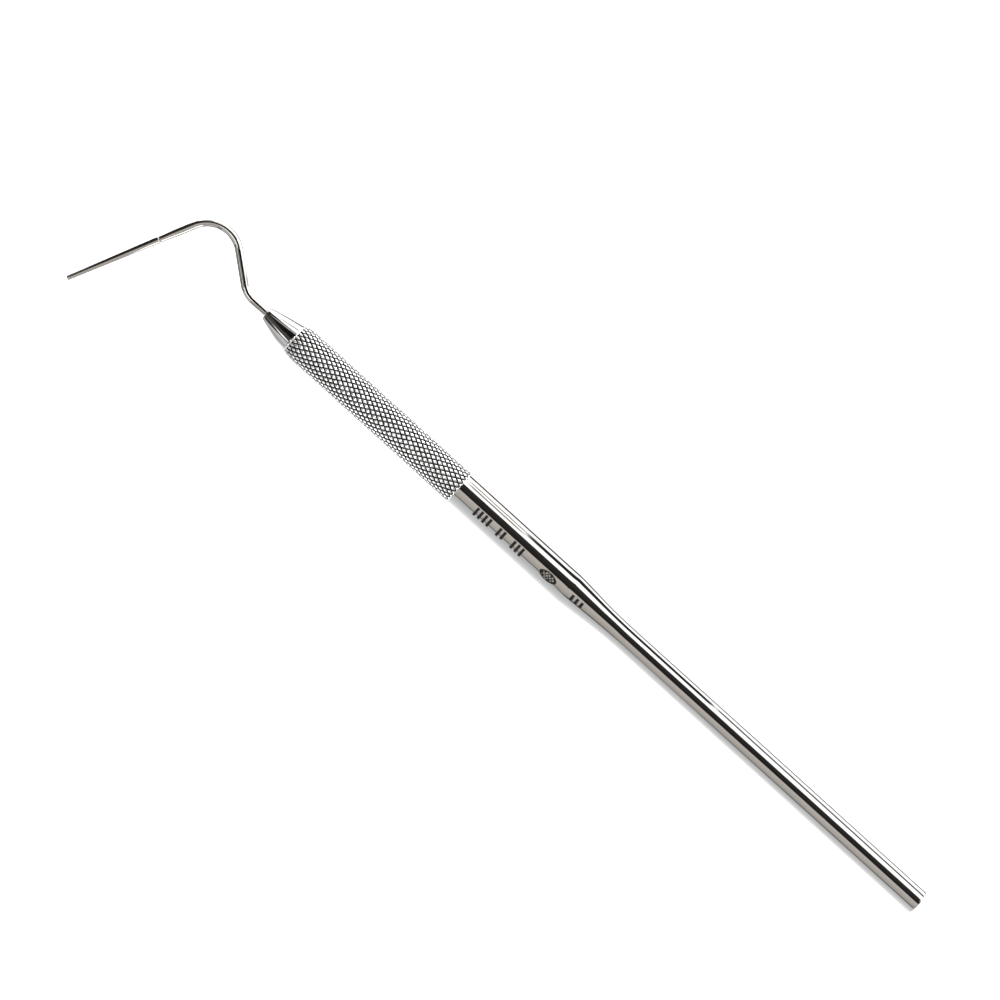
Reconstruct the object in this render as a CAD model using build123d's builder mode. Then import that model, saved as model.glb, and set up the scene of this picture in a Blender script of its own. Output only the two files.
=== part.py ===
"""Single-ended root canal plugger, all stainless steel, lying on a table.

A solid turned handle (ogive nose, knurled grip, plain waist, tapered neck,
thin rod, domed butt) with a bent, tapered wire working end brazed into a
bore in the nose.  Millimetres, +Z up, +X from the butt to the working end.
The handle axis is level; the hook plane is rolled about it until the blunt
tip touches the table, which is how the tool lies when it is put down.
"""
import os
from math import atan, cos, degrees, radians, sin, sqrt, tan

from build123d import *

# ---------------------------------------------------------------- handle
D_MOUTH = 2.50        # mouth of the nose, before its edge is rounded
R_MOUTH_EDGE = 0.40   # rounding on the mouth edge
D_NOSE_MID = 4.41     # nose diameter halfway along (slight ogive)
L_NOSE = 6.85         # mouth to the front edge of the knurl
D_NOSE_BASE = 5.86    # nose diameter where the knurl begins
D_KNURL = 6.35        # knurl crests: quarter-inch bar
L_KNURL_LEAD = 1.25   # lead chamfer of the knurl
X_KNURL_END = 43.94   # mouth to the rear edge of the knurl
L_KNURL_TAIL = 0.15   # rear chamfer of the knurl
D_WAIST = 6.25        # plain polished section
X_WAIST_END = 69.00   # mouth to the shoulder where the neck begins
L_SHOULDER = 0.60     # half length of the soft shoulder between waist and neck
X_NECK_CONE = 75.40   # the neck is a straight cone down to here
D_NECK_CONE = 5.11
X_NECK_END = 82.20    # and a long hollow curve down to the rod
D_ROD = 4.50          # thin plain rod
L_HANDLE = 148.50     # mouth to the crown of the butt
R_BUTT = 6.20         # crown radius of the domed butt
R_BUTT_EDGE = 0.42    # rounding between rod and crown

# ------------------------------------------------- bore, tang and braze
D_TANG = 1.32
L_TANG = 8.60         # tang length inside the nose = bore depth
BRAZE_GAP = 0.08      # radial film between tang and bore
BRAZE_TOE = 0.17      # small ring of braze standing on the mouth face

# ---------------------------------------------------------- working end
D_WIRE = 1.46         # wire through both bends
D_RING = 1.18         # at the depth ring
D_TIP = 0.77          # blunt tip
A_SHANK = -39.0       # direction of the slanted shank, degrees in the hook plane
A_TIP = 64.6          # direction of the straight working end
R_BEND1 = 4.0         # centre-line radius of the bend near the nose
R_BEND2 = 5.5         # centre-line radius of the big bend
X_CORNER1 = 4.55      # where axis and shank directions cross, ahead of the mouth
L_SHANK = 14.57       # corner 1 to corner 2
L_END = 30.60         # corner 2 to the tip
RING_FROM_TIP = 17.15
RING_WIDTH = 0.30
RING_DEPTH = 0.07
TIP_EDGE = 0.06

# ------------------------------------------------------------ placement
AXIS_Z = D_KNURL / 2  # the knurl rests on the table
X_MOUTH = 59.5865      # mouth of the nose; centres the whole tool on the origin
Y_AXIS = -5.8780


def along(deg):
    return Vector(cos(radians(deg)), sin(radians(deg)))


# hook centre line, in hook-plane coordinates measured from the mouth
corner1 = Vector(X_CORNER1, 0)
corner2 = corner1 + along(A_SHANK) * L_SHANK
tip = corner2 + along(A_TIP) * L_END
t1 = R_BEND1 * tan(radians(-A_SHANK) / 2)
t2 = R_BEND2 * tan(radians(A_TIP - A_SHANK) / 2)
bend1_in = corner1 - Vector(1, 0) * t1
bend1_out = corner1 + along(A_SHANK) * t1
bend2_in = corner2 - along(A_SHANK) * t2
bend2_out = corner2 + along(A_TIP) * t2
L_STRAIGHT = L_END - t2

# roll of the hook plane: the lowest point of the blunt tip meets z = 0
ROLL = degrees(atan((AXIS_Z - D_TIP / 2) / tip.Y))
for _ in range(6):
    # lowest point of the end disc: half its width times the disc's slope
    drop = D_TIP / 2 * sqrt(1 - (sin(radians(A_TIP)) * sin(radians(ROLL))) ** 2)
    ROLL = degrees(atan((AXIS_Z - drop) / sqrt(tip.Y ** 2 - (AXIS_Z - drop) ** 2)))

hook = Plane(
    origin=(X_MOUTH, Y_AXIS, AXIS_Z),
    x_dir=(1, 0, 0),
    z_dir=(0, sin(radians(ROLL)), cos(radians(ROLL))),
)
section = Plane(origin=(X_MOUTH, Y_AXIS, AXIS_Z), x_dir=(1, 0, 0), z_dir=(0, -1, 0))
handle_axis = Axis((X_MOUTH, Y_AXIS, AXIS_Z), (1, 0, 0))

# ---------------------------------------------------------------- handle
r_bore = D_TANG / 2 + BRAZE_GAP
crown_edge = L_HANDLE - (R_BUTT - sqrt(R_BUTT ** 2 - (D_ROD / 2) ** 2))
# where the soft shoulder runs into the cone of the neck
neck_slope = atan((D_WAIST - D_NECK_CONE) / 2 / (X_NECK_CONE - X_WAIST_END))
shoulder_out = (
    -X_WAIST_END - L_SHOULDER * cos(neck_slope),
    D_WAIST / 2 - L_SHOULDER * sin(neck_slope),
)

with BuildPart() as handle:
    with BuildSketch(section) as profile:
        with BuildLine():
            Line((0, 0), (0, D_MOUTH / 2))
            ThreePointArc(
                (0, D_MOUTH / 2), (-L_NOSE / 2, D_NOSE_MID / 2), (-L_NOSE, D_NOSE_BASE / 2)
            )
            Polyline(
                (-L_NOSE, D_NOSE_BASE / 2),
                (-L_NOSE - L_KNURL_LEAD, D_KNURL / 2),
                (-X_KNURL_END + L_KNURL_TAIL, D_KNURL / 2),
                (-X_KNURL_END, D_WAIST / 2),
                (-X_WAIST_END + L_SHOULDER, D_WAIST / 2),
            )
            TangentArc(
                (-X_WAIST_END + L_SHOULDER, D_WAIST / 2), shoulder_out, tangent=(-1, 0)
            )
            Line(shoulder_out, (-X_NECK_CONE, D_NECK_CONE / 2))
            TangentArc((-X_NECK_END, D_ROD / 2), (-X_NECK_CONE, D_NECK_CONE / 2), tangent=(1, 0))
            Line((-X_NECK_END, D_ROD / 2), (-crown_edge, D_ROD / 2))
            RadiusArc((-crown_edge, D_ROD / 2), (-L_HANDLE, 0), -R_BUTT)
            Line((-L_HANDLE, 0), (0, 0))
        make_face()
    revolve(axis=handle_axis)
    # blind bore for the tang
    with BuildSketch(Plane(origin=(X_MOUTH, Y_AXIS, AXIS_Z), z_dir=(1, 0, 0))):
        Circle(r_bore)
    extrude(amount=-L_TANG, mode=Mode.SUBTRACT)
    for x, r, rounding in (
        (0, D_MOUTH / 2, R_MOUTH_EDGE),
        (-crown_edge, D_ROD / 2, R_BUTT_EDGE),
    ):
        ring = (
            handle.edges()
            .filter_by(GeomType.CIRCLE)
            .filter_by(lambda e: abs(e.radius - r) < 1e-4)
            .filter_by(lambda e: abs(e.arc_center.X - X_MOUTH - x) < 1e-3)
        )
        fillet(ring, radius=rounding)

# ----------------------------------------------------------- working end
with BuildPart() as working_tip:
    # tang and the first straight length, slightly drawn down towards the nose
    with BuildSketch(section):
        with BuildLine():
            Polyline(
                (-L_TANG, 0),
                (-L_TANG, D_TANG / 2),
                (0, D_TANG / 2),
                (bend1_in.X, D_WIRE / 2),
                (bend1_in.X, 0),
                close=True,
            )
        make_face()
    revolve(axis=handle_axis)
    # bend near the nose, slanted shank, big bend
    with BuildSketch(Plane(origin=hook.from_local_coords(bend1_in), z_dir=(1, 0, 0))):
        Circle(D_WIRE / 2)
    revolve(
        axis=Axis(hook.from_local_coords(bend1_in - Vector(0, R_BEND1)), -hook.z_dir),
        revolution_arc=-A_SHANK,
    )
    shank_plane = Plane(
        origin=hook.from_local_coords(bend1_out),
        z_dir=hook.from_local_coords(corner2) - hook.from_local_coords(corner1),
    )
    with BuildSketch(shank_plane):
        Circle(D_WIRE / 2)
    extrude(amount=L_SHANK - t1 - t2)
    bend2_plane = Plane(origin=hook.from_local_coords(bend2_in), z_dir=shank_plane.z_dir)
    with BuildSketch(bend2_plane):
        Circle(D_WIRE / 2)
    revolve(
        axis=Axis(hook.from_local_coords(bend2_in + along(A_SHANK + 90) * R_BEND2), hook.z_dir),
        revolution_arc=A_TIP - A_SHANK,
    )
    # straight working end, ground to a taper, with the depth ring cut in it
    end_plane = Plane(
        origin=hook.from_local_coords(bend2_out),
        x_dir=hook.from_local_coords(tip) - hook.from_local_coords(bend2_out),
        z_dir=hook.z_dir,
    )
    ring_x = L_STRAIGHT - RING_FROM_TIP
    with BuildSketch(end_plane):
        with BuildLine():
            Polyline((0, 0), (0, D_WIRE / 2), (ring_x * 0.35, D_WIRE / 2))
            Spline(
                (ring_x * 0.35, D_WIRE / 2),
                (ring_x - RING_WIDTH / 2, D_RING / 2),
                tangents=[(1, 0), (L_STRAIGHT - ring_x, (D_TIP - D_RING) / 2)],
            )
            ThreePointArc(
                (ring_x - RING_WIDTH / 2, D_RING / 2),
                (ring_x, D_RING / 2 - RING_DEPTH),
                (ring_x + RING_WIDTH / 2, D_RING / 2),
            )
            Polyline(
                (ring_x + RING_WIDTH / 2, D_RING / 2),
                (L_STRAIGHT, D_TIP / 2),
                (L_STRAIGHT, 0),
                (0, 0),
            )
        make_face()
    revolve(axis=Axis(end_plane.origin, end_plane.x_dir))
    tip_edge = working_tip.edges().filter_by(GeomType.CIRCLE).filter_by(
        lambda e: abs(e.radius - D_TIP / 2) < 1e-3
    )
    fillet(tip_edge, radius=TIP_EDGE)

# ----------------------------------------------------------- braze joint
with BuildPart() as braze_joint:
    with BuildSketch(section):
        with BuildLine():
            Polyline(
                (-L_TANG, D_TANG / 2),
                (-L_TANG, r_bore),
                (0, r_bore),
                (0, r_bore + BRAZE_TOE - BRAZE_GAP),
            )
            taper_r = (D_WIRE - D_TANG) / 2 / bend1_in.X
            RadiusArc(
                (0, r_bore + BRAZE_TOE - BRAZE_GAP),
                (BRAZE_TOE, D_TANG / 2 + taper_r * BRAZE_TOE),
                BRAZE_TOE * 1.3,
            )
            Polyline(
                (BRAZE_TOE, D_TANG / 2 + taper_r * BRAZE_TOE),
                (0, D_TANG / 2),
                (-L_TANG, D_TANG / 2),
            )
        make_face()
    revolve(axis=handle_axis)

# ---------------------------------------------------------------- output
os.makedirs("parts", exist_ok=True)
for node, built in (
    ("handle", handle),
    ("working_tip", working_tip),
    ("braze_joint", braze_joint),
):
    built.part.label = node
    export_step(built.part, f"parts/{node}.step")

if __name__ == "__main__":
    whole = Compound(children=[handle.part, working_tip.part, braze_joint.part])
    box = whole.bounding_box()
    print("min", box.min, "max", box.max, "size", box.size)
    print("hook roll", round(ROLL, 3))
    for node, built in (("handle", handle), ("working_tip", working_tip), ("braze_joint", braze_joint)):
        p = built.part
        print(node, "volume", round(p.volume, 4), "centre", p.center(CenterOf.MASS),
              "solids", len(p.solids()), "valid", p.is_valid)
    print("rod axis from", X_MOUTH - X_NECK_END, "to", X_MOUTH - L_HANDLE)
    for a, b in ((handle, working_tip), (handle, braze_joint), (working_tip, braze_joint)):
        common = a.part & b.part
        print("overlap", getattr(common, "volume", 0))
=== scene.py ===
"""Looks for the root canal plugger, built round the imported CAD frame.

Everything is in metres in the CAD frame: +X from the butt to the working end,
+Z up from the table.  Sizes along the tool are given in millimetres from the
mouth of the nose, and are placed with the boxes of the CAD nodes.
"""

import math

import bpy
import numpy as np
from mathutils import Matrix, Vector


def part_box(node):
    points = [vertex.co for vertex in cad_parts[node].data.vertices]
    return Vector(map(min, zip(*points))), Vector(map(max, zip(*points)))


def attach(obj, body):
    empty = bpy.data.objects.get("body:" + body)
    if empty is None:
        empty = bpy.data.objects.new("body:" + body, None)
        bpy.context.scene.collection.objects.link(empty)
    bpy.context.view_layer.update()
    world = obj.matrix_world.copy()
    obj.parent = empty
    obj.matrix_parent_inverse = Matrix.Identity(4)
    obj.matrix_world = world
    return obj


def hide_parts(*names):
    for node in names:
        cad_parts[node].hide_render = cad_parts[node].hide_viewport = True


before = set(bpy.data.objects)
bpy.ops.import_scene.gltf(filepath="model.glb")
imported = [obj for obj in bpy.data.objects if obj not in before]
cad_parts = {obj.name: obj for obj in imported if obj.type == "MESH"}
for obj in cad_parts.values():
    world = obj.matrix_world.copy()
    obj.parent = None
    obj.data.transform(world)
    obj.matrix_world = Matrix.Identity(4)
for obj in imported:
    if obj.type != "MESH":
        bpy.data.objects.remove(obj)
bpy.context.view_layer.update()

MM = 0.001
handle_lo, handle_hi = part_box("handle")
X_MOUTH = handle_hi.x
Y_AXIS = (handle_lo.y + handle_hi.y) / 2
Z_AXIS = (handle_lo.z + handle_hi.z) / 2
R_CREST = (handle_hi.z - handle_lo.z) / 2 / MM      # knurl crests
L_HANDLE = (handle_hi.x - handle_lo.x) / MM

# ------------------------------------------------------------------ helpers


def smooth(t):
    t = np.clip(t, 0.0, 1.0)
    return t * t * (3 - 2 * t)


def mesh_object(name, verts, faces, body="root"):
    me = bpy.data.meshes.new(name)
    me.from_pydata([tuple(v) for v in verts], [], faces)
    me.validate()
    me.update()
    ob = bpy.data.objects.new(name, me)
    bpy.context.scene.collection.objects.link(ob)
    me.polygons.foreach_set("use_smooth", [True] * len(me.polygons))
    return ob


def float_attribute(ob, name, values):
    a = ob.data.attributes.new(name, "FLOAT", "POINT")
    a.data.foreach_set("value", np.asarray(values, np.float32))


def sharpen(ob, angle=32.0):
    """Marks the edges of real corners sharp, so that the rest shades smooth."""
    me = ob.data
    import bmesh
    bm = bmesh.new()
    bm.from_mesh(me)
    limit = math.radians(angle)
    for e in bm.edges:
        if len(e.link_faces) == 2:
            e.smooth = e.calc_face_angle(0.0) < limit
    bm.to_mesh(me)
    bm.free()


# ------------------------------------------------------------------- handle
L_NOSE, R_NOSE_MID, R_NOSE_BASE = 6.85, 2.205, 2.93
R_MOUTH, R_MOUTH_EDGE = 1.25, 0.40
L_LEAD, X_KNURL_END, L_TAIL = 1.25, 43.94, 0.15
R_WAIST, X_WAIST_END, L_SHOULDER = 3.125, 69.00, 0.60
X_CONE, R_CONE = 75.40, 2.555
X_NECK_END, R_ROD = 82.20, 2.25
R_BUTT, R_BUTT_EDGE = 6.20, 0.42
R_TANG, L_TANG, GAP, TOE = 0.66, 8.60, 0.08, 0.17
R_BORE = R_TANG + GAP

STARTS = 23            # knurl grooves each way round
AXIAL = 1.48           # one diamond along the axis
STEPS = 5              # mesh cells per half diamond, so grooves run along cell diagonals
N = STARTS * 2 * STEPS
DEPTH = 0.21           # groove depth


def arc_points(p0, pm, p1, n):
    """n+1 points on the circle through three points of the profile."""
    ax, ay = p0; bx, by = pm; cx, cy = p1
    d = 2 * (ax * (by - cy) + bx * (cy - ay) + cx * (ay - by))
    ux = ((ax**2 + ay**2) * (by - cy) + (bx**2 + by**2) * (cy - ay) + (cx**2 + cy**2) * (ay - by)) / d
    uy = ((ax**2 + ay**2) * (cx - bx) + (bx**2 + by**2) * (ax - cx) + (cx**2 + cy**2) * (bx - ax)) / d
    r = math.hypot(ax - ux, ay - uy)
    a0, am, a1 = (math.atan2(p[1] - uy, p[0] - ux) for p in (p0, pm, p1))
    def unwrap(a, ref):
        while a - ref > math.pi: a -= 2 * math.pi
        while a - ref < -math.pi: a += 2 * math.pi
        return a
    am = unwrap(am, a0); a1 = unwrap(a1, am)
    return [(ux + r * math.cos(a0 + (a1 - a0) * i / n), uy + r * math.sin(a0 + (a1 - a0) * i / n)) for i in range(n + 1)]


# nose profile arc, its circle, and the small round between it and the mouth face
nose_arc = arc_points((0, R_MOUTH), (L_NOSE / 2, R_NOSE_MID), (L_NOSE, R_NOSE_BASE), 18)


def nose_radius(x):
    for (x0, r0), (x1, r1) in zip(nose_arc, nose_arc[1:]):
        if x0 <= x <= x1:
            return r0 + (r1 - r0) * (x - x0) / (x1 - x0)
    return nose_arc[-1][1]


# the edge round is tangent to the mouth face (x = 0) and to the nose side
slope = math.atan2(nose_arc[2][1] - nose_arc[0][1], nose_arc[2][0] - nose_arc[0][0])
cx = R_MOUTH_EDGE
cr = nose_radius(cx + R_MOUTH_EDGE * -math.sin(slope)) - R_MOUTH_EDGE * math.cos(slope)
mouth_round = [
    (cx - R_MOUTH_EDGE * math.sin(a), cr + R_MOUTH_EDGE * math.cos(a))
    for a in np.linspace(math.pi / 2, slope, 9)
]

rings = []           # (x from mouth, radius, what the ring belongs to)
rings += [(L_TANG, 0.0, "cap"), (L_TANG, R_BORE, "bore"), (4.0, R_BORE, "bore"), (0.02, R_BORE, "bore"), (0.0, R_BORE + 0.02, "mouth")]
rings += [(x, r, "mouth") for x, r in mouth_round]
x_after = mouth_round[-1][0]
rings += [(x, r, "nose") for x, r in nose_arc if x_after + 0.12 < x < L_NOSE - 3.2 * AXIAL / (2 * STEPS)]
# knurl: rings at even steps, so that the pattern's nodes fall on mesh points
step = AXIAL / (2 * STEPS)
knurl_x = [L_NOSE + step * i for i in range(-3, int((X_KNURL_END - L_NOSE) / step))]
X_FRONT = knurl_x[0]
knurl_x = [x for x in knurl_x if x < X_KNURL_END - L_TAIL - 0.02]
rings += [(x, None, "knurl") for x in knurl_x]
rings += [(X_KNURL_END - L_TAIL, None, "knurl"), (X_KNURL_END - L_TAIL * 0.4, None, "knurl")]
rings += [(X_KNURL_END + d, R_WAIST, "waist") for d in (0.0, 0.02, 0.10)]

# etched marks: (start, end) along the axis in mm from the mouth, and the span round the handle
TICK, PITCH = 0.50, 0.95
marks = []
x = 48.4
for group in (4, 2, 3):
    for i in range(group):
        marks.append((x, x + TICK, 0))
        x += PITCH
    x += 1.30
tick_end = x
neck_marks = [(70.0, 70.55, 1), (71.0, 71.55, 1), (72.0, 72.55, 1)]

cone_slope = math.atan((R_WAIST - R_CONE) / (X_CONE - X_WAIST_END))
shoulder = arc_points(
    (X_WAIST_END - L_SHOULDER, R_WAIST),
    (X_WAIST_END, R_WAIST - L_SHOULDER * math.tan(cone_slope / 2) / 2 - 0.0),
    (X_WAIST_END + L_SHOULDER * math.cos(cone_slope), R_WAIST - L_SHOULDER * math.sin(cone_slope)),
    4,
)
neck_dx = X_NECK_END - X_CONE
# hollow arc tangent to the rod, through the end of the cone
r_neck = (neck_dx**2 + (R_CONE - R_ROD) ** 2) / (2 * (R_CONE - R_ROD))
neck = [
    (X_NECK_END - r_neck * math.sin(a), R_ROD + r_neck * (1 - math.cos(a)))
    for a in np.linspace(math.asin(neck_dx / r_neck), 0, 12)
]
crown_centre = L_HANDLE - R_BUTT
a_edge = math.asin((R_ROD - R_BUTT_EDGE) / (R_BUTT - R_BUTT_EDGE))
edge_centre = (crown_centre + (R_BUTT - R_BUTT_EDGE) * math.cos(a_edge), R_ROD - R_BUTT_EDGE)


def plain_radius(x):
    if x <= X_WAIST_END - L_SHOULDER: return R_WAIST
    if x < shoulder[-1][0]:
        return float(np.interp(x, [p[0] for p in shoulder], [p[1] for p in shoulder]))
    if x <= X_CONE: return shoulder[-1][1] - (x - shoulder[-1][0]) * math.tan(cone_slope)
    return R_ROD


ETCH = 0.012
mark_lines = {}
waist_x = set([46.0, 60.0, 64.0, X_WAIST_END - L_SHOULDER] + [p[0] for p in shoulder] + [70.4, 74.0, X_CONE])
lens_marks = []
for a, b, kind in marks + neck_marks:
    for v in (a - 0.03, a, a + 0.025, b - 0.025, b, b + 0.03):
        waist_x.add(v)
# the oval mark: a plain ring, cut in steps of one cell
OVAL_X0, OVAL_X1 = 63.1, 66.7
oval_lines = list(np.linspace(OVAL_X0, OVAL_X1, 25)) + [OVAL_X0 - 0.03, OVAL_X1 + 0.03, OVAL_X0 - 0.15, OVAL_X1 + 0.15]
waist_x |= set(float(v) for v in oval_lines)
waist_x = sorted(waist_x)
waist_x = [v for i, v in enumerate(waist_x) if i == 0 or v - waist_x[i - 1] > 1e-4]
rings += [(v, plain_radius(v), "waist") for v in waist_x if v < X_CONE - 1e-6]
rings += [(x, r, "neck") for x, r in neck]
rings += [(90.0, R_ROD, "rod"), (105.0, R_ROD, "rod"), (120.0, R_ROD, "rod"), (135.0, R_ROD, "rod"), (edge_centre[0] - 0.6, R_ROD, "rod")]
rings += [
    (edge_centre[0] + R_BUTT_EDGE * math.sin(a), edge_centre[1] + R_BUTT_EDGE * math.cos(a), "butt")
    for a in np.linspace(0, math.pi / 2 - a_edge, 9)
]
rings += [
    (crown_centre + R_BUTT * math.cos(a), R_BUTT * math.sin(a), "butt")
    for a in np.linspace(a_edge, 0, 7)[1:-1]
]
rings += [(L_HANDLE, 0.0, "cap")]

theta = np.arange(N) * 2 * math.pi / N       # 0 is straight up, growing towards -Y


def knurl_radius(x):
    """Crest radius, radius and groove share of one ring of the knurl."""
    if x < L_NOSE:
        crest = nose_radius(x)
    else:
        crest = R_NOSE_BASE + (R_CREST - R_NOSE_BASE) * min(1.0, (x - L_NOSE) / L_LEAD)
    tail = X_KNURL_END - x
    if tail < L_TAIL:
        crest = R_WAIST + (R_CREST - R_WAIST) * tail / L_TAIL
    a = STARTS * theta / (2 * math.pi) + (x - L_NOSE) / AXIAL
    b = STARTS * theta / (2 * math.pi) - (x - L_NOSE) / AXIAL
    da = np.abs(a - np.round(a)); db = np.abs(b - np.round(b))
    d = np.minimum(da, db)                     # 0 in a groove, 0.5 at the middle of a diamond
    fall = (1 - np.clip(d / 0.5, 0, 1)) ** 2.3    # sharp groove, rounded top
    # the rolled diamonds are never quite even
    worn = 0.5 + 0.5 * np.sin(1.7 * np.floor(a) + 0.9) * np.sin(2.3 * np.floor(b) + 0.4)
    fall = fall + 0.12 * worn * (1 - fall)
    ramp = smooth((X_KNURL_END - x) / 0.30) * smooth((x - X_FRONT) / 0.20)
    r = crest - DEPTH * fall * ramp
    return r, np.clip((1 - np.clip(d / 0.5, 0, 1)) ** 2.3 * ramp, 0, 1)


verts, groove, poles = [], [], {}
ring_index = []
for x, r, kind in rings:
    if kind == "cap":
        ring_index.append(("pole", len(verts)))
        verts.append((X_MOUTH - x * MM, Y_AXIS, Z_AXIS)); groove.append(0.0)
        continue
    if kind == "knurl":
        radius, g = knurl_radius(x)
    else:
        radius, g = np.full(N, float(r)), np.zeros(N)
    ring_index.append(("ring", len(verts)))
    for t, q, s in zip(theta, radius, g):
        verts.append((X_MOUTH - x * MM, Y_AXIS - q * MM * math.sin(t), Z_AXIS + q * MM * math.cos(t)))
        groove.append(float(s))

# which angular cells each kind of mark covers (cell j lies between theta j and j+1)
cell_deg = 360.0 / N


def cells(deg0, deg1):
    return set(range(int(round(deg0 / cell_deg)) % N, int(round(deg1 / cell_deg)) % N + (0 if deg1 >= deg0 else N)))


lo_tick, hi_tick = -36.0, -6.5
j0, j1 = int(round(lo_tick / cell_deg)), int(round(hi_tick / cell_deg))


def etched(xm, j):
    """Is the mesh cell at xm, angular cell j (signed) part of a mark?"""
    for a, b, kind in marks:
        if a < xm < b:
            i = marks.index((a, b, kind))
            low = j0 if i % 4 else j0 - 1
            return low <= j < j1
    for a, b, kind in neck_marks:
        if a < xm < b:
            return j0 + 3 <= j < j1 - 2
    if OVAL_X0 < xm < OVAL_X1:
        u = (xm - (OVAL_X0 + OVAL_X1) / 2) / ((OVAL_X1 - OVAL_X0) / 2)
        v = (j + 0.5 - (j0 + j1) / 2) / ((j1 - j0) / 2)
        q = math.hypot(u, v)
        return 0.76 < q < 1.0 or (q < 0.76 and ((2.2 * u + v) % 0.8 < 0.3 or (2.2 * u - v) % 0.8 < 0.3))
    return False


faces, face_mark = [], []
for (k0, i0), (k1, i1), ra, rb in zip(ring_index, ring_index[1:], rings, rings[1:]):
    if k0 == "pole":
        for j in range(N):
            faces.append((i0, i1 + j, i1 + (j + 1) % N)); face_mark.append(0)
        continue
    if k1 == "pole":
        for j in range(N):
            faces.append((i0 + j, i1, i0 + (j + 1) % N)); face_mark.append(0)
        continue
    xm = (ra[0] + rb[0]) / 2
    in_knurl = ra[2] == "knurl" and rb[2] == "knurl"
    in_waist = ra[2] == "waist" and rb[2] in ("waist", "neck")
    for j in range(N):
        a, b = i0 + j, i0 + (j + 1) % N
        c, d = i1 + (j + 1) % N, i1 + j
        signed = j if j < N // 2 else j - N
        m = 1 if in_waist and etched(xm, signed) else 0
        if in_knurl:
            # split each cell along the groove direction that it belongs to
            tm = (j + 0.5) / (2 * STEPS)
            pa = tm + (xm - L_NOSE) / AXIAL; pb = tm - (xm - L_NOSE) / AXIAL
            ka = abs(pa - round(pa)); kb = abs(pb - round(pb))
            # along family a, theta falls as x grows: diagonal b-d
            if ka < kb:
                faces.append((a, d, b)); faces.append((b, d, c))
            else:
                faces.append((a, d, c)); faces.append((a, c, b))
            face_mark += [2, 2]
        else:
            faces.append((a, d, c, b)); face_mark.append(m)

handle = mesh_object("handle_turned", verts, faces)
float_attribute(handle, "groove", groove)
me = handle.data

# sink the etched cells a little: points wholly inside a mark go down
inside = np.ones(len(verts), bool)
touch = np.zeros(len(verts), bool)
for poly, m in zip(me.polygons, face_mark):
    for v in poly.vertices:
        if m == 1: touch[v] = True
        else: inside[v] = False
co = np.array([v.co[:] for v in me.vertices])
sunk = inside & touch
radial = co[:, 1:] - np.array([Y_AXIS, Z_AXIS])
length = np.linalg.norm(radial, axis=1, keepdims=True)
length[length == 0] = 1
co[sunk, 1:] -= (radial / length)[sunk] * ETCH * MM
me.vertices.foreach_set("co", co.astype(np.float32).ravel())
me.polygons.foreach_set("material_index", np.array(face_mark, np.int32))
me.update()

# ------------------------------------------------------------- working end
R_WIRE, R_RING, R_TIP = 0.73, 0.59, 0.385
A_SHANK, A_TIP = -39.0, 64.6
BEND1, BEND2 = 4.0, 5.5
X_CORNER1, L_SHANK, L_END = 4.55, 14.57, 30.60
RING_FROM_TIP, RING_WIDTH, RING_DEPTH, TIP_EDGE = 17.15, 0.30, 0.07, 0.06


def along(deg):
    return np.array([math.cos(math.radians(deg)), math.sin(math.radians(deg))])


corner1 = np.array([X_CORNER1, 0.0])
corner2 = corner1 + along(A_SHANK) * L_SHANK
tip_at = corner2 + along(A_TIP) * L_END
t1 = BEND1 * math.tan(math.radians(-A_SHANK) / 2)
t2 = BEND2 * math.tan(math.radians(A_TIP - A_SHANK) / 2)
L_STRAIGHT = L_END - t2
roll = math.asin((Z_AXIS / MM - R_TIP) / tip_at[1])
for _ in range(6):
    drop = R_TIP * math.sqrt(1 - (math.sin(math.radians(A_TIP)) * math.sin(roll)) ** 2)
    roll = math.asin((Z_AXIS / MM - drop) / tip_at[1])

path = []            # (point, direction in degrees, arc length from the tang end)


def put(points):
    for p in points:
        path.append(p)


put([(np.array([-L_TANG + d, 0.0]), 0.0) for d in (0.0, 4.0, L_TANG - 0.1, L_TANG, L_TANG + 0.3)])
b1 = corner1 - np.array([t1, 0.0])
centre1 = b1 - np.array([0.0, BEND1])
put([(b1 * f, 0.0) for f in (0.5, 0.8)])
for a in np.linspace(0, A_SHANK, 21):
    put([(centre1 + BEND1 * along(a + 90), a)])
b1_out, b2_in = corner1 + along(A_SHANK) * t1, corner2 - along(A_SHANK) * t2
for f in np.linspace(0, 1, 7)[1:-1]:
    put([(b1_out + (b2_in - b1_out) * f, A_SHANK)])
centre2 = b2_in + along(A_SHANK + 90) * BEND2
for a in np.linspace(A_SHANK, A_TIP, 49):
    put([(centre2 + BEND2 * along(a - 90), a)])
b2_out = corner2 + along(A_TIP) * t2
ring_x = L_STRAIGHT - RING_FROM_TIP
end_s = list(np.linspace(0, ring_x - RING_WIDTH / 2 - 0.05, 24)[1:])
end_s += list(ring_x + np.linspace(-RING_WIDTH / 2, RING_WIDTH / 2, 13))
end_s += list(np.linspace(ring_x + RING_WIDTH / 2 + 0.05, L_STRAIGHT - TIP_EDGE, 34))
end_s += [L_STRAIGHT - TIP_EDGE * (1 - math.sin(a)) for a in np.linspace(0, math.pi / 2, 7)[1:]]
for s in end_s:
    put([(b2_out + along(A_TIP) * s, A_TIP)])


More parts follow.
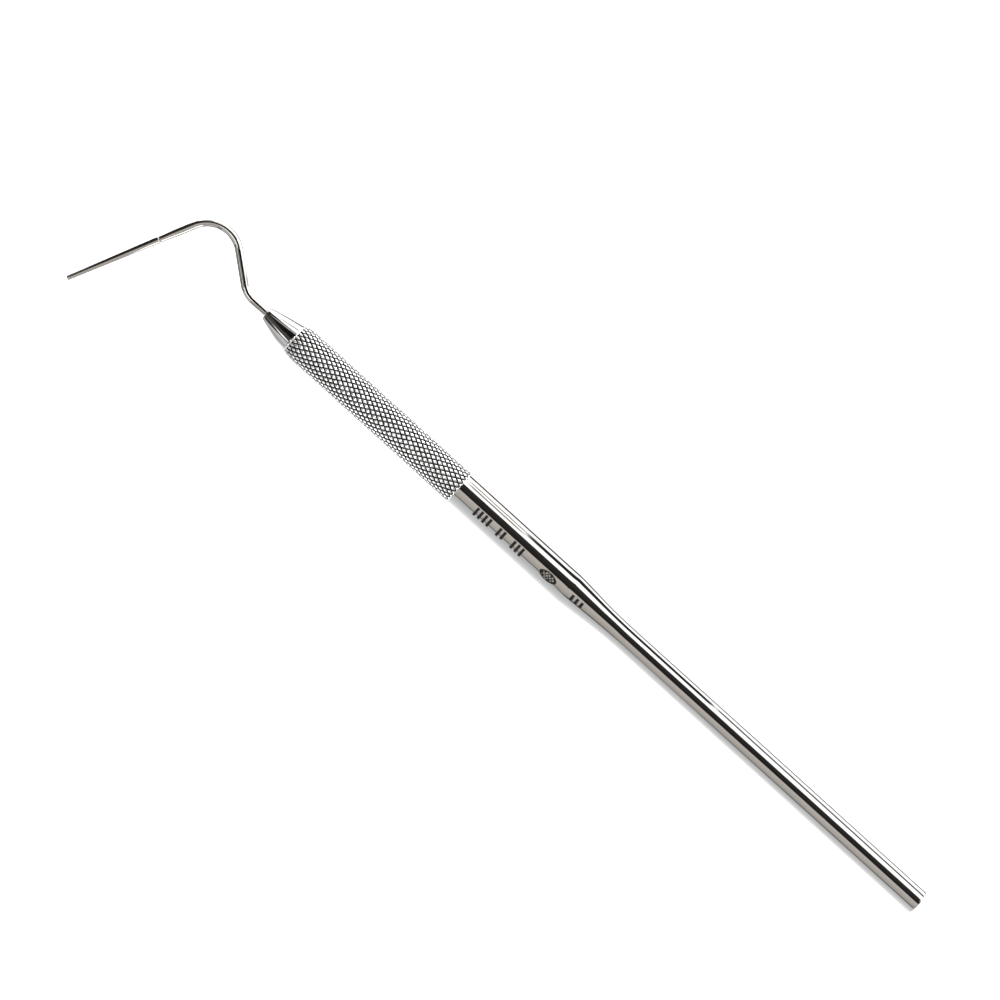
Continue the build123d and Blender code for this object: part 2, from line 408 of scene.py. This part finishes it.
def wire_radius(k, p, deg, s_end):
    if s_end is None:
        x = p[0]
        if deg == 0.0 and x <= b1[0]:
            return R_TANG + (R_WIRE - R_TANG) * max(0.0, x) / b1[0]
        return R_WIRE
    lead = ring_x * 0.35
    if s_end <= lead:
        return R_WIRE
    if s_end < ring_x - RING_WIDTH / 2:
        t = (s_end - lead) / (ring_x - RING_WIDTH / 2 - lead)
        m1 = (R_TIP - R_RING) / (L_STRAIGHT - ring_x) * (ring_x - RING_WIDTH / 2 - lead)
        h00 = 2 * t**3 - 3 * t**2 + 1; h01 = -2 * t**3 + 3 * t**2; h11 = t**3 - t**2
        return h00 * R_WIRE + h01 * R_RING + h11 * m1
    if s_end <= ring_x + RING_WIDTH / 2:
        u = (s_end - ring_x) / (RING_WIDTH / 2)
        return R_RING - RING_DEPTH * (1 - u * u)
    t = (s_end - ring_x - RING_WIDTH / 2) / (L_STRAIGHT - ring_x - RING_WIDTH / 2)
    r = R_RING + (R_TIP - R_RING) * t
    over = s_end - (L_STRAIGHT - TIP_EDGE)
    if over > 0:
        r = r - TIP_EDGE + math.sqrt(max(0.0, TIP_EDGE**2 - over**2))
    return r


M = 72
n_end = len(end_s)
cr_, sr_ = math.cos(roll), math.sin(roll)


def hook(u, v, w):
    """Hook-plane coordinates (mm) to the row frame (m): w is along the plane's normal."""
    return (X_MOUTH + u * MM, Y_AXIS + (v * cr_ + w * sr_) * MM, Z_AXIS + (-v * sr_ + w * cr_) * MM)


wverts, wfaces, ringmark = [], [], []
wverts.append(hook(path[0][0][0], 0, 0)); ringmark.append(0.0)
starts = []
for k, (p, deg) in enumerate(path):
    s_end = end_s[k - (len(path) - n_end)] if k >= len(path) - n_end else None
    r = wire_radius(k, p, deg, s_end)
    out = along(deg + 90)
    starts.append(len(wverts))
    for i in range(M):
        a = 2 * math.pi * i / M
        q = p + out * r * math.cos(a)
        wverts.append(hook(q[0], q[1], r * math.sin(a)))
        ringmark.append(1.0 if s_end is not None and abs(s_end - ring_x) < RING_WIDTH * 0.45 else 0.0)
last = len(wverts)
wverts.append(hook(path[-1][0][0], path[-1][0][1], 0)); ringmark.append(0.0)
for i in range(M):
    wfaces.append((0, starts[0] + i, starts[0] + (i + 1) % M))
    wfaces.append((last, starts[-1] + (i + 1) % M, starts[-1] + i))
for s0, s1 in zip(starts, starts[1:]):
    for i in range(M):
        j = (i + 1) % M
        wfaces.append((s0 + i, s1 + i, s1 + j, s0 + j))
wire = mesh_object("working_tip_wire", wverts, wfaces)
float_attribute(wire, "ring", ringmark)

# ------------------------------------------------------------------- braze
B = 96
r_out = R_BORE + TOE - GAP
taper = (R_WIRE - R_TANG) / b1[0]
toe = []
for t in np.linspace(0, 1, 7):
    a = t * math.pi / 2
    # hollow fillet from the mouth face to the wire
    xx = TOE * (1 - math.cos(a)) if False else TOE * t
    rr = r_out + (R_TANG + taper * TOE - r_out) * t
    bow = 0.022 * math.sin(math.pi * t)
    toe.append((xx - bow * 0.7, rr - bow * 0.7))
profile = [(-L_TANG, R_TANG), (-L_TANG, R_BORE), (-0.02, R_BORE), (0.0, R_BORE + 0.02)] + toe + [(0.0, R_TANG)]
bverts, bfaces = [], []
rng = np.random.default_rng(7)
phase = rng.uniform(0, 2 * math.pi, 4)
for k, (x, r) in enumerate(profile):
    for i in range(B):
        a = 2 * math.pi * i / B
        wob = 0.0
        if 5 <= k <= 9:
            wob = -0.012 * (0.5 + 0.5 * math.sin(3 * a + phase[0]) * math.sin(7 * a + phase[1]))
        q = max(r + wob, R_TANG)
        bverts.append((X_MOUTH + x * MM, Y_AXIS - q * MM * math.sin(a), Z_AXIS + q * MM * math.cos(a)))
n_p = len(profile)
for k in range(n_p):
    k2 = (k + 1) % n_p
    for i in range(B):
        j = (i + 1) % B
        bfaces.append((k * B + i, k2 * B + i, k2 * B + j, k * B + j))
braze = mesh_object("braze_ring", bverts, bfaces)

for ob in (handle, wire, braze):
    import bmesh
    bm = bmesh.new(); bm.from_mesh(ob.data)
    bmesh.ops.recalc_face_normals(bm, faces=bm.faces)
    bm.to_mesh(ob.data); bm.free()
sharpen(wire, 40)
sharpen(handle, 40)
sharpen(braze, 50)

# --------------------------------------------------------------- materials


class Nodes:
    """Small helper for building node trees."""

    def __init__(self, name):
        self.mat = bpy.data.materials.new(name)
        self.mat.use_nodes = True
        self.t = self.mat.node_tree
        self.t.nodes.clear()
        self.out = self.t.nodes.new("ShaderNodeOutputMaterial")
        self.bsdf = self.t.nodes.new("ShaderNodeBsdfPrincipled")
        self.t.links.new(self.bsdf.outputs[0], self.out.inputs[0])
        self.coord = self.t.nodes.new("ShaderNodeTexCoord").outputs["Object"]

    def new(self, kind, **values):
        n = self.t.nodes.new(kind)
        for k, v in values.items():
            setattr(n, k, v)
        return n

    def link(self, a, b):
        self.t.links.new(a, b)

    def mapped(self, scale, rotation=(0, 0, 0), location=(0, 0, 0)):
        m = self.new("ShaderNodeMapping")
        m.inputs["Scale"].default_value = scale
        m.inputs["Rotation"].default_value = rotation
        m.inputs["Location"].default_value = location
        self.link(self.coord, m.inputs["Vector"])
        return m.outputs[0]

    def noise(self, vector, scale, detail=4.0, rough=0.55):
        n = self.new("ShaderNodeTexNoise")
        n.inputs["Scale"].default_value = scale
        n.inputs["Detail"].default_value = detail
        n.inputs["Roughness"].default_value = rough
        self.link(vector, n.inputs["Vector"])
        return n.outputs["Fac"]

    def ramp(self, fac, stops):
        r = self.new("ShaderNodeValToRGB")
        e = r.color_ramp.elements
        while len(e) < len(stops):
            e.new(0.5)
        for el, (pos, col) in zip(e, stops):
            el.position = pos
            el.color = (*col, 1) if len(col) == 3 else col
        self.link(fac, r.inputs["Fac"])
        return r.outputs["Color"]

    def remap(self, fac, a0, a1, b0, b1):
        m = self.new("ShaderNodeMapRange")
        for k, v in zip(("From Min", "From Max", "To Min", "To Max"), (a0, a1, b0, b1)):
            m.inputs[k].default_value = v
        self.link(fac, m.inputs["Value"])
        return m.outputs["Result"]

    def mix(self, fac, a, b):
        m = self.new("ShaderNodeMix", data_type="RGBA")
        if isinstance(fac, float): m.inputs["Factor"].default_value = fac
        else: self.link(fac, m.inputs["Factor"])
        for sock, v in ((m.inputs[6], a), (m.inputs[7], b)):
            if isinstance(v, tuple): sock.default_value = (*v, 1)
            else: self.link(v, sock)
        return m.outputs[2]

    def math(self, op, a, b=None):
        m = self.new("ShaderNodeMath", operation=op)
        for sock, v in zip(m.inputs, (a, b)):
            if v is None: continue
            if isinstance(v, (int, float)): sock.default_value = v
            else: self.link(v, sock)
        return m.outputs[0]

    def bump(self, height, strength, distance):
        b = self.new("ShaderNodeBump")
        b.inputs["Strength"].default_value = strength
        b.inputs["Distance"].default_value = distance
        self.link(height, b.inputs["Height"])
        self.link(b.outputs[0], self.bsdf.inputs["Normal"])
        return b


def attribute(m, name):
    a = m.new("ShaderNodeAttribute")
    a.attribute_name = name
    return a.outputs["Fac"]


def polished_steel(name, tint, rough0, rough1, lines, knurl=None, metallic=1.0, depth=0.00001):
    """Polished stainless steel: lathe lines, faint smudges and handling scratches; with a knurl attribute, also painted
    shade and grime in the grooves.
    """
    m = Nodes(name)
    m.bsdf.inputs["Metallic"].default_value = metallic
    lathe = m.noise(m.mapped(lines), 1.0, 3.0)                       # fine rings left by polishing
    smudge = m.noise(m.mapped((60, 220, 220)), 1.0, 5.0, 0.6)        # handling haze
    scratch = m.noise(m.mapped((90, 1900, 1900), rotation=(0.3, 0.2, 0.5)), 1.0, 2.0)
    scratch = m.ramp(scratch, [(0.62, (0, 0, 0)), (0.70, (1, 1, 1))])
    base = m.ramp(m.math("ADD", m.math("MULTIPLY", smudge, 0.7), m.math("MULTIPLY", lathe, 0.3)),
                  [(0.25, tuple(c * 0.94 for c in tint)), (0.75, tuple(min(1, c * 1.05) for c in tint))])
    rough = m.remap(smudge, 0.3, 0.75, rough0, rough1)
    rough = m.math("ADD", rough, m.math("MULTIPLY", scratch, 0.05))
    if knurl:
        # painted shade: the grooves are darkened to near black by their depth (shade in the recesses, mixed with grime,
        # broken up by noise) and made rougher
        g = attribute(m, knurl)
        shade_and_grime_noise = m.noise(m.mapped((700, 700, 700)), 1.0, 4.0)
        deep = m.remap(m.math("ADD", g, m.math("MULTIPLY", shade_and_grime_noise, 0.25)), 0.35, 0.63, 0.0, 1.0)
        base = m.mix(deep, base, (0.018, 0.017, 0.016))
        rough = m.math("ADD", rough, m.math("MULTIPLY", deep, 0.35))
    m.link(base, m.bsdf.inputs["Base Color"])
    m.link(rough, m.bsdf.inputs["Roughness"])
    height = m.math("ADD", m.math("MULTIPLY", lathe, 0.6), m.math("MULTIPLY", scratch, -0.3))
    m.bump(height, 0.10, depth)
    return m.mat


STEEL = (0.63, 0.62, 0.61)
mat_handle = polished_steel("handle_polished_steel", STEEL, 0.03, 0.08, (5200, 260, 260))
# painted light: the knurled steel is a brighter copy of the handle's steel (tint 0.97 against 0.63), standing in for
# the light its facets scatter back
mat_knurl = polished_steel("handle_knurled_steel", (0.97, 0.97, 0.97), 0.20, 0.30, (3000, 900, 900), knurl="groove", metallic=0.9)

m = Nodes("etched_oxide")
m.bsdf.inputs["Metallic"].default_value = 0.15
m.bsdf.inputs["Specular IOR Level"].default_value = 0.2
grain = m.noise(m.mapped((4200, 4200, 4200)), 1.0, 4.0)
m.link(m.ramp(grain, [(0.3, (0.008, 0.0075, 0.007)), (0.75, (0.035, 0.031, 0.028))]), m.bsdf.inputs["Base Color"])
m.link(m.remap(grain, 0.3, 0.7, 0.5, 0.75), m.bsdf.inputs["Roughness"])
m.bump(grain, 0.35, 0.000012)
mat_etch = m.mat

mat_wire = polished_steel("wire_polished_steel", (0.63, 0.61, 0.585), 0.012, 0.035, (900, 2600, 2600), depth=0.000002)

m = Nodes("silver_braze")
m.bsdf.inputs["Metallic"].default_value = 1.0
blot = m.noise(m.mapped((2600, 2600, 2600)), 1.0, 4.0)
fine = m.noise(m.mapped((9000, 9000, 9000)), 1.0, 3.0)
m.link(m.ramp(blot, [(0.3, (0.50, 0.45, 0.37)), (0.7, (0.72, 0.69, 0.62))]), m.bsdf.inputs["Base Color"])
m.link(m.remap(fine, 0.3, 0.7, 0.22, 0.42), m.bsdf.inputs["Roughness"])
m.bump(m.math("ADD", blot, m.math("MULTIPLY", fine, 0.4)), 0.4, 0.00002)
mat_braze = m.mat

handle.data.materials.append(mat_handle)
handle.data.materials.append(mat_etch)
handle.data.materials.append(mat_knurl)
wire.data.materials.append(mat_wire)
braze.data.materials.append(mat_braze)

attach(handle, "root"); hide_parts("handle")
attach(wire, "root"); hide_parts("working_tip")
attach(braze, "root"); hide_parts("braze_joint")

# ------------------------------------------------------------------- studio


def emission(name, low, high=None, axis="Y"):
    """Plain glowing card, or one that fades from low to high across its width."""
    mat = bpy.data.materials.new(name)
    mat.use_nodes = True
    t = mat.node_tree
    t.nodes.clear()
    out = t.nodes.new("ShaderNodeOutputMaterial")
    em = t.nodes.new("ShaderNodeEmission")
    t.links.new(em.outputs[0], out.inputs[0])
    if high is None:
        em.inputs["Color"].default_value = (*low, 1)
    else:
        co = t.nodes.new("ShaderNodeTexCoord")
        sep = t.nodes.new("ShaderNodeSeparateXYZ")
        ramp = t.nodes.new("ShaderNodeValToRGB")
        ramp.color_ramp.elements[0].color = (*low, 1)
        ramp.color_ramp.elements[1].color = (*high, 1)
        t.links.new(co.outputs["Generated"], sep.inputs[0])
        t.links.new(sep.outputs[axis], ramp.inputs["Fac"])
        t.links.new(ramp.outputs["Color"], em.inputs["Color"])
    return mat


def card(name, corners, mat):
    """A studio card that shows only in reflections."""
    me = bpy.data.meshes.new(name)
    me.from_pydata([tuple(c) for c in corners], [], [tuple(range(len(corners)))])
    ob = bpy.data.objects.new(name, me)
    bpy.context.scene.collection.objects.link(ob)
    me.materials.append(mat)
    ob.visible_camera = False
    ob.visible_diffuse = False
    ob.visible_shadow = False
    ob.visible_transmission = False
    return ob


H = 1.5          # height of the overhead cards above the tool
YA, ZA = Y_AXIS, Z_AXIS


def up(x, y, h=H):
    """Point of the overhead plane seen along (x, y, 1) from the middle of the tool."""
    return (x * h, YA + y * h, ZA + h)


def strip_wall(name, side, phi0, phi1, x0, x1, mat, dist=2.2):
    """Upright card parallel to the tool, between two angles from the vertical."""
    y = YA + side * dist
    z0 = ZA + dist / math.tan(math.radians(phi1))
    z1 = ZA + dist / math.tan(math.radians(phi0))
    return card(name, [(x0, y, z0), (x1, y, z0), (x1, y, z1), (x0, y, z1)], mat)


GREY = lambda v: (v, v, v)


def flat(name, xy, z, mat):
    """Level card through (x, y) points in mm, y counted from the handle's axis."""
    return card(name, [(px * MM, YA + py * MM, z * MM) for px, py in xy], mat)


def upright(name, x0, x1, y, z0, z1, mat, tilt=0.0):
    """Upright card in mm beside the tool, y counted from the handle's axis."""
    return card(name, [(x0 * MM, YA + y * MM, z0 * MM), (x1 * MM, YA + y * MM, (z0 + tilt) * MM),
                       (x1 * MM, YA + y * MM, (z1 + tilt) * MM), (x0 * MM, YA + y * MM, z1 * MM)], mat)


def sector(name, a0, a1, k0, k1, h, mat):
    """Overhead card between two compass directions (degrees from +X) and two distances."""
    arc = [math.radians(a0 + (a1 - a0) * i / 6) for i in range(7)]
    pts = [up(k0 * math.cos(a), k0 * math.sin(a), h) for a in arc]
    pts += [up(k1 * math.cos(a), k1 * math.sin(a), h) for a in reversed(arc)]
    return card(name, pts, mat)


# overhead: a black flag, dark further forward, and a beige reflector beside it
card("flag_overhead", [up(-6, -0.80), up(-0.26, -0.77), up(-0.20, -0.83), up(-0.15, -0.82), up(-0.12, -0.785), up(-0.07, -0.762),
                       up(-0.03, -0.735), up(0.03, -0.722), up(0.30, -0.52), up(0.30, 0.16), up(0.25, 0.34), up(0.10, 0.14), up(0.0, 0.125), up(-0.04, 0.135),
                       up(-0.06, 0.17), up(-0.085, 0.17), up(-0.11, 0.12), up(-0.3, 0.11), up(-6, 0.11)],
     emission("flag_black", (0.05, 0.047, 0.044), (0.010, 0.010, 0.010)))
card("flag_forward_edge", [up(0.30, -0.52), up(0.40, -0.42), up(0.54, -0.34), up(0.71, -0.24), up(1.2, -0.22), up(4.5, -2.3),
                           up(4.5, -0.6), up(1.0, 0.10), up(0.60, 0.10), up(0.30, 0.02)],
     emission("flag_deep", (0.022, 0.021, 0.02)))
card("flag_forward", [up(0.30, 0.02), up(0.60, 0.10), up(1.0, 0.10), up(4.5, -0.6), up(4.5, 2.0), up(0.95, 1.15), up(0.84, 1.0), up(0.565, 1.36), up(0.38, 1.36), up(0.30, 0.9)],
     emission("flag_dark", (0.075, 0.068, 0.06), (0.12, 0.11, 0.10)))
HB = H * 1.004
card("reflector_beige", [up(-6, 0.05, HB), up(0.3, 0.05, HB), up(0.3, 1.85, HB), up(-6, 1.85, HB)],
     emission("reflector_beige", (0.74, 0.70, 0.65), (0.40, 0.37, 0.34)))
card("reflector_front", [up(0.3, 0.05, HB), up(2.4, 0.05, HB), up(2.4, 2.6, HB), up(0.3, 2.6, HB)], emission("reflector_front", (0.42, 0.42, 0.42)))
card("flag_thin", [up(-6, 1.85), up(-0.07, 1.85), up(-0.03, 1.24), up(0.3, 1.24), up(0.3, 1.52), up(-0.03, 1.52), up(-0.07, 2.2), up(-6, 2.2)], emission("flag_thin", (0.15, 0.145, 0.14)))
HG = H * 1.002
card("reflector_gap", [up(-0.05, 1.45, HG), up(0.3, 1.45, HG), up(0.3, 2.3, HG), up(-0.08, 2.3, HG)], emission("reflector_gap", (0.68, 0.70, 0.72)))
card("flag_thin_dark", [up(-0.45, 1.55, 1.495), up(-0.15, 1.72, 1.495), up(-0.15, 2.3, 1.495), up(-0.45, 2.3, 1.495)], emission("flag_thin_dark", (0.04, 0.037, 0.035)))
strip_wall("reflector_grey", 1, 65.6, 90.0, -9, 9, emission("reflector_grey", (0.84, 0.86, 0.88), (0.70, 0.72, 0.74), axis="Z"))
strip_wall("softbox_side", -1, 35.0, 90.0, -9, 9, emission("softbox_white", (1.85, 1.85, 1.85)))
# light patches that only the slanted part of the wire sees
card("light_near", [up(0.07, 0.45, 1.49), up(0.2, 0.45, 1.49), up(0.36, 0.66, 1.49), up(0.36, 0.86, 1.49), up(0.2, 0.80, 1.49), up(0.07, 0.6, 1.49)],
     emission("light_near", GREY(2.2)))
card("light_far", [up(0.62, 1.2, 1.49), up(0.74, 1.1, 1.49), up(1.05, 1.45, 1.49), up(0.92, 1.6, 1.49)], emission("light_far", GREY(2.0)))
# and small black cards close above it and the stub
flat("flag_stub", [(59.5, -9), (66.5, -9), (66.5, 8.5), (59.5, 8.5)], 28.5, emission("flag_stub", GREY(0.012)))
flat("flag_shank", [(51.0, -12.5), (56.5, -17.0), (74.2, 4.0), (68.7, 9.5)], 28, emission("flag_shank", GREY(0.012)))


def dark_wall(name, a0, a1, dist, z0, z1, v):
    p = [(dist * math.cos(math.radians(a)), dist * math.sin(math.radians(a))) for a in (a0, a1)]
    return card(name, [(p[0][0], p[0][1], z0), (p[1][0], p[1][1], z0), (p[1][0], p[1][1], z1), (p[0][0], p[0][1], z1)], emission(name, GREY(v)))


dark_wall("flag_inner", 38, 62, 1.7, 0.0, 0.92, 0.05)
sector("flag_side", -44, -8, 0.86, 1.75, 1.49, emission("flag_side", GREY(0.03)))
card("light_shank", [up(-0.48, -0.43, 1.485), up(-0.58, -0.26, 1.485), up(-1.1, -0.8, 1.485), up(-0.8, -1.1, 1.485)], emission("light_shank", GREY(1.9)))
card("light_inner", [up(-0.30, 0.30, 1.49), up(-1.2, 0.62, 1.49), up(-1.0, 1.05, 1.49), up(-0.30, 0.62, 1.49)], emission("light_inner", GREY(0.66)))
card("flag_end", [up(-1.2, 0.72, 1.49), up(-2.3, 1.1, 1.49), up(-2.1, 1.7, 1.49), up(-1.05, 1.15, 1.49)], emission("flag_end", GREY(0.10)))
card("flag_tip", [((81.6 + 36.1) * MM, YA - 13.5 * MM, 0.0003), (126.7 * MM, YA + 5.3 * MM, 0.0003), (126.7 * MM, YA + 5.3 * MM, 0.06), (117.7 * MM, YA - 13.5 * MM, 0.06)],
     emission("flag_tip", GREY(0.03)))
# lines in the white side of the handle: things standing 12 cm away
WALL = -120
near_black = emission("line_black", GREY(0.03))
upright("line_shoulder", -10, 1, WALL, 20, 70, near_black)
upright("line_joint", -24, -10, WALL, 3, 60, near_black, tilt=14)
upright("line_cone", -47, -24, WALL, 3, 60, near_black)
upright("line_rod", -140, -48, WALL, 6, 39, emission("line_grey", GREY(0.04)))
brown = emission("line_brown", (0.30, 0.22, 0.18))
for i in range(8):
    x0 = 1.6 + 1.75 * i
    wave = 1.4 * math.sin(1.9 * i)
    upright("line_low_%d" % i, x0, x0 + 1.75, WALL, 25 + wave, 41 + wave, brown, tilt=1.4 * math.sin(1.9 * (i + 1)) - wave)
    wave = 3.0 * math.sin(2.3 * i + 1)
    upright("line_high_%d" % i, x0, x0 + 1.75, WALL, 69 + wave, 97 + wave, brown, tilt=3.0 * math.sin(2.3 * (i + 1) + 1) - wave)
# the nose's fine line
card("line_nose", [up(1.10, -1.15, 0.5), up(0.93, -1.45, 0.5), up(0.82, -2.6, 0.5), up(0.82, -3.5, 0.5), up(1.02, -3.5, 0.5)], emission("line_nose", GREY(0.18)))

# cards lying on the table, seen only in the tool's flanks: painted light and shade of the table as the steel mirrors
# it, grey on the +Y side, the shaded side away from the light
zf = 0.2
flat("table_grey_far", [(-3000, 30), (3000, 30), (3000, 3000), (-3000, 3000)], zf, emission("table_grey_far", (0.86, 0.88, 0.90)))
flat("table_grey_wire", [(56, 4.5), (300, 4.5), (300, 30), (56, 30)], zf, emission("table_grey_wire", GREY(0.62)))
flat("table_grey_mid", [(-300, 11), (56, 11), (56, 30), (-300, 30)], zf, emission("table_grey_mid", (1.0, 1.02, 1.03), (0.87, 0.89, 0.91)))
flat("table_grey_near", [(-300, 4.5), (56, 4.5), (56, 11), (-300, 11)], zf, emission("table_grey_near", (1.4, 1.4, 1.4), (1.02, 1.04, 1.05)))
# painted contact shadow: a dark sheet on the table beside the tool, following its width, standing in for the shade
# close under the tool as its edges mirror it
inner = [(75, 9.0), (52, 9.8), (16, 10.1), (-8, 10.1), (-12, 8.6), (-17, 7.8), (-21, 5.8), (-30, 5.5), (-50, 4.2), (-68, 4.0), (-92, 3.6)]
outer = [(75, 16.5), (52, 18.5), (16, 20), (-8, 20), (-12, 15), (-17, 13.6), (-21, 9.8), (-30, 9.2), (-50, 7.3), (-68, 7.1), (-92, 6.4)]
painted_contact_shadow = emission("painted_contact_shadow", (0.03, 0.028, 0.026))
for k, ((xa, ya), (xb, yb), (xc, yc), (xd, yd)) in enumerate(zip(inner, inner[1:], outer[1:], outer)):
    flat("outline_%d" % k, [(xa, -ya), (xb, -yb), (xc, -yc), (xd, -yd)], zf + 0.1, painted_contact_shadow)
# painted light: a bright white card on the -Y side, the side of the table the light falls on, as the steel mirrors it
flat("table_white", [(-3000, -3.0), (3000, -3.0), (3000, -3000), (-3000, -3000)], zf, emission("table_white", (1.9, 1.9, 1.9)))
# light close to the knurl, outside what the plain steel mirrors
upright("knurl_side", 19, 44, 38, 2, 22, emission("knurl_side", GREY(4.2)))
upright("knurl_back", 19, 49.5, -55, 4, 75, emission("knurl_back", GREY(3.8)))
flat("knurl_top", [(20, -34), (47, -34), (47, 10), (20, 16)], 62, emission("knurl_top", GREY(2.6)))
# dark table patches beside the wire
soft_black = emission("table_dark", GREY(0.05))
flat("table_outer", [(82.0, 3.6), (90.8, 22.0), (127, 5.0), (118, -13.8)], zf + 0.15, soft_black)
flat("table_inner", [(66.5, 1.4), (73, -3.6), (78, 2.5), (76.5, 14), (72, 12)], zf + 0.15, emission("table_inner", GREY(0.10)))
upright("stub_dark", 60.6, 68, 60, 0.3, 24, emission("stub_dark", GREY(0.16)))
flat("stub_table", [(60.6, 14), (66.5, 14), (68, 60), (60.6, 60)], zf + 0.15, emission("stub_table", GREY(0.4)))

# floor
fm = bpy.data.meshes.new("floor")
S = 12.0
fm.from_pydata([(-S, -S, -0.00002), (S, -S, -0.00002), (S, S, -0.00002), (-S, S, -0.00002)], [], [(0, 1, 2, 3)])
floor = bpy.data.objects.new("floor", fm)
bpy.context.scene.collection.objects.link(floor)
m = Nodes("floor_white")
m.link(m.ramp(m.noise(m.coord, 40.0, 3.0), [(0.3, (0.90, 0.90, 0.90)), (0.7, (0.92, 0.92, 0.92))]), m.bsdf.inputs["Base Color"])
m.bsdf.inputs["Roughness"].default_value = 0.9
m.bsdf.inputs["Specular IOR Level"].default_value = 0.0
m.bsdf.inputs["Emission Color"].default_value = (1, 1, 1, 1)
m.bsdf.inputs["Emission Strength"].default_value = 0.72
fm.materials.append(m.mat)

world = bpy.data.worlds.new("studio")
bpy.context.scene.world = world
world.use_nodes = True
bg = world.node_tree.nodes["Background"]
bg.inputs["Color"].default_value = (1.0, 1.0, 1.0, 1)
bg.inputs["Strength"].default_value = 0.55

key = bpy.data.lights.new("key", "AREA")
key.shape = "RECTANGLE"; key.size = 1.6; key.size_y = 1.0; key.energy = 22.0
key_ob = bpy.data.objects.new("key", key)
key_ob.location = (0.1, -1.2, 1.3)
key_ob.rotation_euler = (Vector((0, 0, 0)) - Vector(key_ob.location)).to_track_quat("-Z", "Y").to_euler()
key_ob.visible_glossy = False
bpy.context.scene.collection.objects.link(key_ob)

# ------------------------------------------------------------------- camera
cam = bpy.data.cameras.new("camera")
cam.sensor_width = 36.0
cam.lens = 200.0
cam_ob = bpy.data.objects.new("camera", cam)
bpy.context.scene.collection.objects.link(cam_ob)
SPAN = 0.1684                        # width of the picture at the tool's height
distance = SPAN * cam.lens / cam.sensor_width
right = Vector((-0.740935, -0.671580, 0.0)).normalized()
upward = Vector((0.671580, -0.740935, 0.0)).normalized()
back = right.cross(upward)
target = Vector((X_MOUTH - 0.05030, Y_AXIS - 0.00302, Z_AXIS))
cam_ob.matrix_world = Matrix.Translation(target + back * distance) @ Matrix((right, upward, back)).transposed().to_4x4()
cam.clip_start = 0.05
cam.clip_end = 60.0
bpy.context.scene.camera = cam_ob

bpy.context.scene.view_settings.view_transform = "Standard"

bpy.context.view_layer.update()
